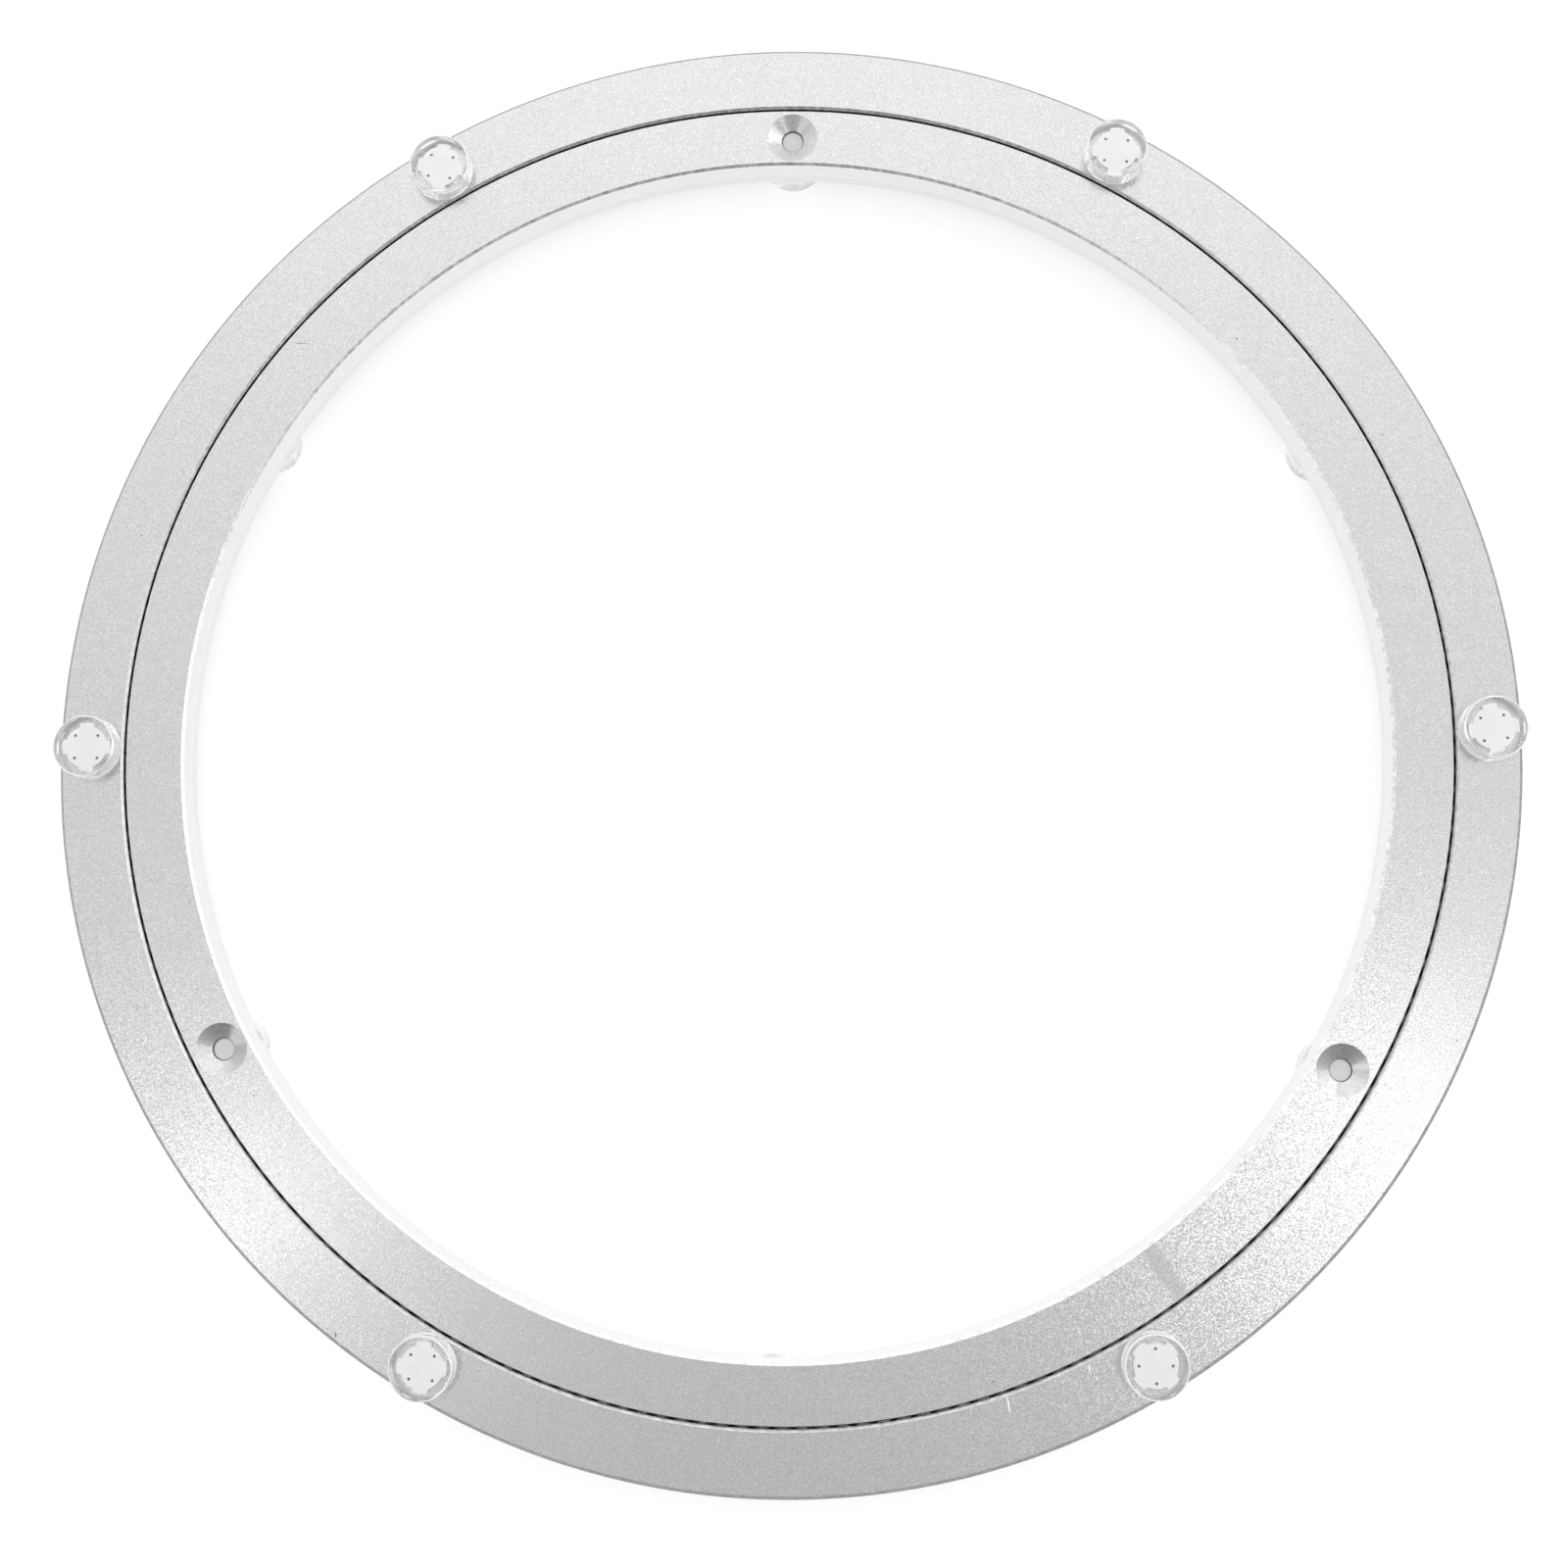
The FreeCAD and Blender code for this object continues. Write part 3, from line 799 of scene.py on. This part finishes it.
def pale_floor():
    """A white sweep: matt, lit enough to stay white, and a touch darker far away."""
    shader = Shader("pale_floor")
    place = shader.place()
    distance = shader.vector("LENGTH", place).outputs["Value"]
    glow = shader.spread(distance, GLOW_FADES_FROM, GLOW_FADES_TO, FLOOR_GLOW, FAR_GLOW)
    paper = shader.noise(place, 2 * MM, 3).outputs["Fac"]
    colour = shader.blend(paper, grey(0.36), grey(0.38))
    return shader.finish(Base_Color=colour, Roughness=0.9, Emission_Color=WHITE, Emission_Strength=glow)


# ---- which faces get which finish -------------------------------------------------------------

BLASTED, COUNTERSINK, OUTER_BEVEL, INSIDE_BEVEL, RACE, WALL = range(6)
WALL_TOLERANCE = 0.1 * MM
RACE_TOLERANCE = 0.05 * MM
LEVEL_FACE = 0.999           # how nearly a face must point up or down to be level
UPRIGHT_FACE = 0.001         # and how little, to be upright


def near_hole(centre, circle, first_angle):
    """True inside the mouth of one of a ring's countersinks, seen from above."""
    for index in range(SCREW_COUNT):
        hole = ring_place(circle, first_angle + index * TURN / SCREW_COUNT).to_translation()
        if math.hypot(centre.x - hole.x, centre.y - hole.y) < SCREW_CONE:
            return True
    return False


def finish_ring(ring, finishes, circle, first_angle, rim):
    """Gives each face its finish, in the order of the names above. The rim is the ring's edge off the gap."""
    for material in finishes:
        ring.data.materials.append(material)
    for face in ring.data.polygons:
        centre = face.center
        radius = math.hypot(centre.x, centre.y)
        level = abs(face.normal.z) > LEVEL_FACE
        upright_face = abs(face.normal.z) < UPRIGHT_FACE
        off_race = math.hypot(radius - BALL_CIRCLE, centre.z - RING_MIDDLE) - RACE_RADIUS
        if abs(off_race) < RACE_TOLERANCE:
            face.material_index = RACE
        elif not level and near_hole(centre, circle, first_angle):
            face.material_index = COUNTERSINK
        elif upright_face and abs(radius - rim) < WALL_TOLERANCE:
            face.material_index = WALL
        # The gap's upright walls take the race's near-black painted shade too.
        elif upright_face and abs(radius - BALL_CIRCLE) < GAP_OUTER - GAP_INNER:
            face.material_index = RACE
        elif not level and not upright_face:
            face.material_index = OUTER_BEVEL if abs(radius - rim) < RIM_BEVEL else INSIDE_BEVEL
        else:
            face.material_index = BLASTED


# ---- the stage --------------------------------------------------------------------------------

FLOOR_SIZE = 4.0
FLOOR_GLOW = 0.70
FAR_GLOW = 0.64
GLOW_FADES_FROM = 0.25
GLOW_FADES_TO = 1.6
ROOM_LEVEL = 1.1
ROOM_LEAN = (0.04, 0.9, 0.0)
ROOM_RISE = (0.3, 0.85, 0.72, 1.0)      # low and high directions, and the share of light at each
ROOM_SEEN = 0.9                         # how bright the empty room looks past the floor
CAMERA_PLACE = (12.9, -56.2, 370.6)     # millimetres from the middle of the rings' top
CAMERA_TARGET = (0.43, -9.28, 0)
CAMERA_ROLL = -0.48
CAMERA_LENS = 42.0
# Each light: name, place, width, height, brightness.
LIGHTS = (
    ("key_left", (-0.44, -0.20, 1.0), 0.13, 0.13, 4.2),
    ("key_right", (0.41, -0.17, 1.0), 0.20, 0.16, 3.4),
    ("back_panel", (0.0, 0.75, 1.0), 1.2, 0.5, 0.15),
    ("side_right", (0.75, 0.25, 0.45), 0.8, 0.3, 1.6),
    ("side_left", (-0.7, -0.35, 0.45), 0.4, 0.3, 1.6),
)


def make_floor():
    work = bmesh.new()
    bmesh.ops.create_grid(work, x_segments=8, y_segments=8, size=FLOOR_SIZE)
    mesh = bpy.data.meshes.new("floor")
    work.to_mesh(mesh)
    work.free()
    floor = new_piece("floor", mesh)
    floor.data.materials.append(pale_floor())


def make_world():
    """A pale room: brighter behind the object, darker in front and near the horizon."""
    world = bpy.data.worlds.new("studio")
    bpy.context.scene.world = world
    world.use_nodes = True
    tree = world.node_tree
    background = tree.nodes["Background"]

    def node(kind, **settings):
        made = tree.nodes.new("ShaderNode" + kind)
        for name, value in settings.items():
            setattr(made, name, value)
        return made

    coords = node("TexCoord")
    lean = node("VectorMath", operation="DOT_PRODUCT")
    tree.links.new(coords.outputs["Generated"], lean.inputs[0])
    lean.inputs[1].default_value = ROOM_LEAN
    level = node("Math", operation="ADD")
    tree.links.new(lean.outputs["Value"], level.inputs[0])
    level.inputs[1].default_value = ROOM_LEVEL
    split = node("SeparateXYZ")
    tree.links.new(coords.outputs["Generated"], split.inputs[0])
    rise = node("MapRange", interpolation_type="SMOOTHSTEP")
    tree.links.new(split.outputs["Z"], rise.inputs["Value"])
    for name, value in zip(("From Min", "From Max", "To Min", "To Max"), ROOM_RISE):
        rise.inputs[name].default_value = value
    strength = node("Math", operation="MULTIPLY")
    tree.links.new(level.outputs[0], strength.inputs[0])
    tree.links.new(rise.outputs["Result"], strength.inputs[1])
    seen = node("LightPath")
    pick = node("Mix", data_type="FLOAT")
    tree.links.new(seen.outputs["Is Camera Ray"], pick.inputs["Factor"])
    tree.links.new(strength.outputs[0], pick.inputs[2])
    pick.inputs[3].default_value = ROOM_SEEN
    tree.links.new(pick.outputs[0], background.inputs["Strength"])
    background.inputs["Color"].default_value = WHITE


def soft_light(name, place, width, height, brightness):
    """A soft panel that faces the object. A brightness of 1 looks white in a mirror."""
    data = bpy.data.lights.new(name, "AREA")
    data.shape = "RECTANGLE"
    data.size = width
    data.size_y = height
    data.energy = brightness * math.pi * width * height
    light = bpy.data.objects.new(name, data)
    bpy.context.scene.collection.objects.link(light)
    place = Vector(place)
    light.location = place
    light.rotation_euler = (Vector((0, 0, RING_TOP)) - place).to_track_quat("-Z", "Y").to_euler()
    light.visible_camera = False


def make_camera():
    """Looks down on the rings from a little in front of the axis."""
    top = Vector((0, 0, RING_TOP))
    place = top + Vector(CAMERA_PLACE) * MM
    target = top + Vector(CAMERA_TARGET) * MM
    roll = math.radians(CAMERA_ROLL)
    back = (place - target).normalized()
    right = Vector((0, 1, 0)).cross(back).normalized()
    up = back.cross(right)
    turn = Matrix((right, up, back)).transposed() @ Matrix.Rotation(roll, 3, "Z")
    data = bpy.data.cameras.new("camera")
    data.lens = CAMERA_LENS
    data.sensor_width = 36
    data.clip_start = 0.01
    camera = bpy.data.objects.new("camera", data)
    bpy.context.scene.collection.objects.link(camera)
    camera.matrix_world = Matrix.Translation(place) @ turn.to_4x4()
    bpy.context.scene.camera = camera


# ---- put together -----------------------------------------------------------------------------

inner_ring = make_ring(
    "inner_bearing_ring", inner_outline(),
    screw_cutters(TOP_SCREW_CIRCLE, TOP_SCREW_ANGLE, RING_TOP, below=False),
    socket_cutters(BASE_PAD_CIRCLE, BASE_PAD_ANGLE, RING_BOTTOM, below=True))
outer_ring = make_ring(
    "outer_bearing_ring", outer_outline(),
    screw_cutters(UNDER_SCREW_CIRCLE, UNDER_SCREW_ANGLE, RING_BOTTOM, below=True),
    socket_cutters(TOP_PAD_CIRCLE, TOP_PAD_ANGLE, RING_TOP, below=False),
    filler_cutter())

# Each mark: angle, radius, length, width, heading from the radius.
INNER_SCRATCHES = [(62.3, 129 * MM, 1.6 * MM, 0.12 * MM, 50)]
INNER_TICKS = [(139.6, 133.5 * MM, 5.2 * MM, 0.16 * MM, 34), (306.5, 124.3 * MM, 0.4 * MM, 7.5 * MM, 0),
               (129.1, 124.0 * MM, 0.6 * MM, 2.8 * MM, 0), (41, 127 * MM, 0.9 * MM, 0.3 * MM, 40)]
OUTER_SCRATCHES = [(288.15, 138.9 * MM, 3.8 * MM, 0.26 * MM, -10),
                   (295.3, 138.5 * MM, 1.5 * MM, 0.28 * MM, -14),
                   (295.5, 140.6 * MM, 0.8 * MM, 0.24 * MM, -20)]
OUTER_TICKS = [(232.9, 148.4 * MM, 1.3 * MM, 0.34 * MM, 45), (155, 139 * MM, 0.6 * MM, 0.25 * MM, 0)]

gap_bevel = cut_edge("gap_bevel", 0.55, 0.80, 0.40, 0.50)
race = race_steel_painted_shade("race_painted_shade")
finish_ring(inner_ring, (
    blasted_aluminium("inner_blasted", INNER_SCRATCHES, INNER_TICKS, seam=True),
    machined_aluminium("inner_machined", TOP_SCREW_CIRCLE, TOP_SCREW_ANGLE),
    cut_edge("bore_bevel", 0.66, 0.92, 0.36, 0.46), gap_bevel, race, turned_wall("bore_wall", 0.74, 0.88),
), TOP_SCREW_CIRCLE, TOP_SCREW_ANGLE, BORE)
# Painted shade: the outer ring's rim bevel and rim wall get dark greys, standing in for the dark line along
# the outer edge.
finish_ring(outer_ring, (
    blasted_aluminium("outer_blasted", OUTER_SCRATCHES, OUTER_TICKS),
    machined_aluminium("outer_machined", UNDER_SCREW_CIRCLE, UNDER_SCREW_ANGLE),
    cut_edge("rim_bevel", 0.24, 0.36, 0.20, 0.34), gap_bevel, race, turned_wall("rim_wall_painted_shade", 0.36, 0.50),
), UNDER_SCREW_CIRCLE, UNDER_SCREW_ANGLE, OUTSIDE)
for ring, body, node in ((inner_ring, "base", "inner_ring"), (outer_ring, "turntable", "outer_ring")):
    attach(ring, body)
    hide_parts(node)

cover_pattern = make_cover()
plug_pattern = make_plug()
finish_cover(cover_pattern)
finish_plug(plug_pattern)
stand_pads("top", "turntable", TOP_PAD_CIRCLE, TOP_PAD_ANGLE, RING_TOP, TOP_PAD_TURNS, below=False,
           cover_mesh=cover_pattern.data, plug_mesh=plug_pattern.data)
stand_pads("base", "base", BASE_PAD_CIRCLE, BASE_PAD_ANGLE, RING_BOTTOM, BASE_PAD_TURNS, below=True,
           cover_mesh=cover_pattern.data, plug_mesh=plug_pattern.data)
for pattern in (cover_pattern, plug_pattern):
    bpy.data.objects.remove(pattern)

for node, material in (("bearing_balls", ball_steel()), ("ball_filler_plug", turned_aluminium())):
    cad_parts[node].data.materials.clear()
    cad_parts[node].data.materials.append(material)

make_floor()
make_world()
for light in LIGHTS:
    soft_light(*light)
make_camera()
bpy.context.scene.view_settings.view_transform = "Standard"
